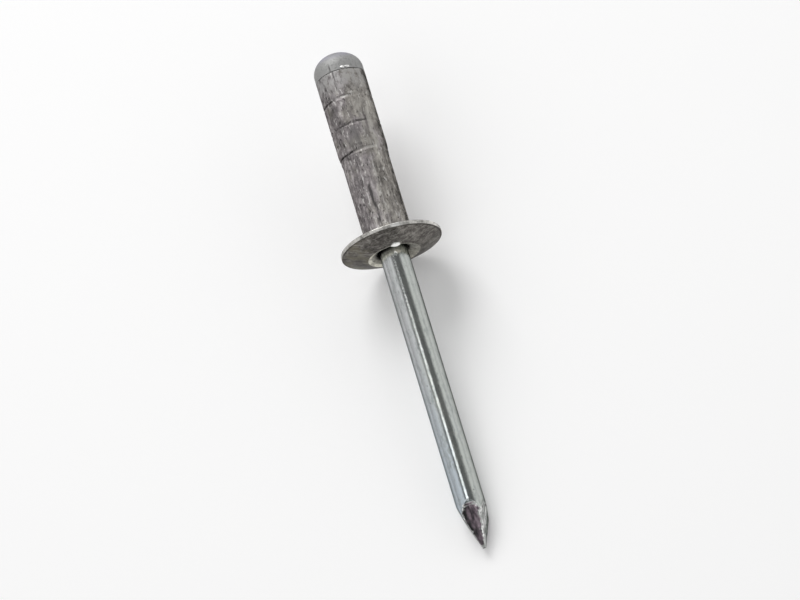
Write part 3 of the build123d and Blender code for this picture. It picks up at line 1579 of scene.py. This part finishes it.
@dataclass
class Studio:
    """The pale floor, the tent round it with its dark top, and the light panels."""

    floor_half: float = 1.2
    floor_cells: int = 4
    floor_colour: Colour = (0.9, 0.9, 0.9)
    floor_glow: float = 0.10
    tent_tones: tuple[tuple[float, float], ...] = (
        (0.0, 0.66), (0.62, 0.97), (0.68, 0.92), (0.84, 0.19), (1.0, 0.19)
    )
    top_tilt: float = 13.0
    key_towards: tuple[float, float, float] = (-0.74, -0.10, 0.66)
    strip_back: float = 0.347
    strip_rise: float = 0.938
    strip_lean: float = -2.5

    def build_floor(self) -> bpy.types.Object:
        """Lays the floor.

        Returns:
            The floor.
        """
        shape = bmesh.new()
        cells = self.floor_cells
        bmesh.ops.create_grid(shape, x_segments=cells, y_segments=cells, size=self.floor_half)
        mesh = bpy.data.meshes.new("floor")
        shape.to_mesh(mesh)
        shape.free()
        floor = bpy.data.objects.new("floor", mesh)
        bpy.context.scene.collection.objects.link(floor)
        mesh.materials.append(self._white_paper())
        return floor

    def _white_paper(self) -> bpy.types.Material:
        """White paper, which keeps the shadow and is lifted a little where it is seen or mirrored.

        Returns:
            The new material.
        """
        graph = ShaderGraph.for_material("white_paper", metallic=0.0)
        rays = graph.add("ShaderNodeLightPath", {}).outputs
        seen = rays["Is Camera Ray"]
        for ray in ("Is Glossy Ray", "Is Transmission Ray"):
            seen = Worked(Sum.MAXIMUM, (seen, rays[ray])).build(graph)
        inputs = {
            "Base Color": self.floor_colour,
            "Roughness": 1.0,
            "Specular IOR Level": 0.0,
            "Emission Color": WHITE,
            "Emission Strength": Worked(Sum.MULTIPLY, (seen, self.floor_glow)).build(graph),
        }
        graph.feed(graph.shader, inputs)
        return graph.owner

    def build_tent(self, lying: LyingAxis) -> bpy.types.World:
        """Sets the world: a tent with white sides and a dark top that leans to the rivet's side.

        Args:
            lying: Where the rivet lies.

        Returns:
            The world.
        """
        world = bpy.data.worlds.new("light_tent")
        bpy.context.scene.world = world
        world.use_nodes = True
        graph = ShaderGraph(world)
        lean = math.radians(self.top_tilt)
        top = lying.up * math.cos(lean) + lying.side * math.sin(lean)
        way = graph.add("ShaderNodeTexCoord", {}).outputs["Generated"]
        height = graph.add("ShaderNodeVectorMath", {0: way, 1: top}, operation="DOT_PRODUCT")
        stops = tuple((rise, (tone, tone, tone)) for rise, tone in self.tent_tones)
        light = Tones(height.outputs["Value"], stops).build(graph)
        graph.feed(world.node_tree.nodes["Background"], {"Color": WHITE, "Strength": light})
        return world

    def build_panels(self, lying: LyingAxis) -> list[bpy.types.Object]:
        """Hangs the key panel behind the head and the narrow panel over the shank.

        Args:
            lying: Where the rivet lies.

        Returns:
            The lamps.
        """
        lean = math.radians(self.strip_lean)
        over = math.cos(lean) * lying.up + math.sin(lean) * lying.side
        key = Panel(
            name="key_panel",
            aim=5.0 * MM,
            towards=Vector(self.key_towards),
            distance=0.62,
            width=0.34,
            length=0.34,
            radiance=5.3,
        )
        strip = Panel(
            name="strip_panel",
            aim=30.0 * MM,
            towards=self.strip_rise * over - self.strip_back * lying.along,
            distance=0.14,
            width=0.032,
            length=0.040,
            radiance=2.1,
        )
        return [panel.build(lying) for panel in (key, strip)]


@dataclass
class PhotoCamera:
    """The camera, placed so that the rivet's flange falls where it does in the picture."""

    image_width: int = 800
    image_height: int = 600
    sensor_width: float = 36.0
    bearing_pixel: tuple[float, float] = (390.74, 242.87)
    pixels_per_mm: float = 10.63
    distance: float = 0.48
    towards_point: float = 20.3
    swing: float = 9.0
    picture_turn: float = 17.0
    nearest: float = 0.02
    farthest: float = 10.0

    def build(self, lying: LyingAxis) -> bpy.types.Object:
        """Sets the camera up.

        Args:
            lying: Where the rivet lies.

        Returns:
            The camera.
        """
        lean, swing, turn = (math.radians(a) for a in (self.towards_point, self.swing, self.picture_turn))
        front = lying.up * math.cos(swing) + lying.side * math.sin(swing)
        across = lying.side * math.cos(swing) - lying.up * math.sin(swing)
        back = lying.along * math.sin(lean) + front * math.cos(lean)
        down_axis = lying.along * math.cos(lean) - front * math.sin(lean)
        right = down_axis * math.sin(turn) + across * math.cos(turn)
        down = down_axis * math.cos(turn) - across * math.sin(turn)
        pixel = MM / self.pixels_per_mm
        off_right = (self.bearing_pixel[0] - self.image_width / 2) * pixel
        off_down = (self.bearing_pixel[1] - self.image_height / 2) * pixel
        data = bpy.data.cameras.new("photo_camera")
        data.sensor_width = self.sensor_width
        data.lens = self.sensor_width * self.distance / (self.image_width * pixel)
        data.clip_start, data.clip_end = self.nearest, self.farthest
        camera = bpy.data.objects.new("photo_camera", data)
        bpy.context.scene.collection.objects.link(camera)
        place = lying.start + back * self.distance - right * off_right - down * off_down
        turned = Matrix((right, -down, back)).transposed().to_4x4()
        camera.matrix_world = Matrix.Translation(place) @ turned
        bpy.context.scene.camera = camera
        return camera


def main() -> None:
    """Builds the rivet, then its studio and camera."""
    logging.basicConfig(level=logging.INFO, format="%(message)s")
    lying = LyingAxis.from_mounts(frame["record"]["mounts"])
    for maker in (RivetBody(), Mandrel()):
        piece = maker.build(lying)
        log.info("%s: %d faces", piece.name, len(piece.data.polygons))
    studio = Studio()
    log.info("stage: %s", studio.build_floor().name)
    log.info("tent: %s", studio.build_tent(lying).name)
    for lamp in studio.build_panels(lying):
        log.info("panel: %s", lamp.name)
    log.info("camera: %s", PhotoCamera().build(lying).name)
    bpy.context.scene.view_settings.view_transform = "Standard"


if __name__ == "__main__":
    main()
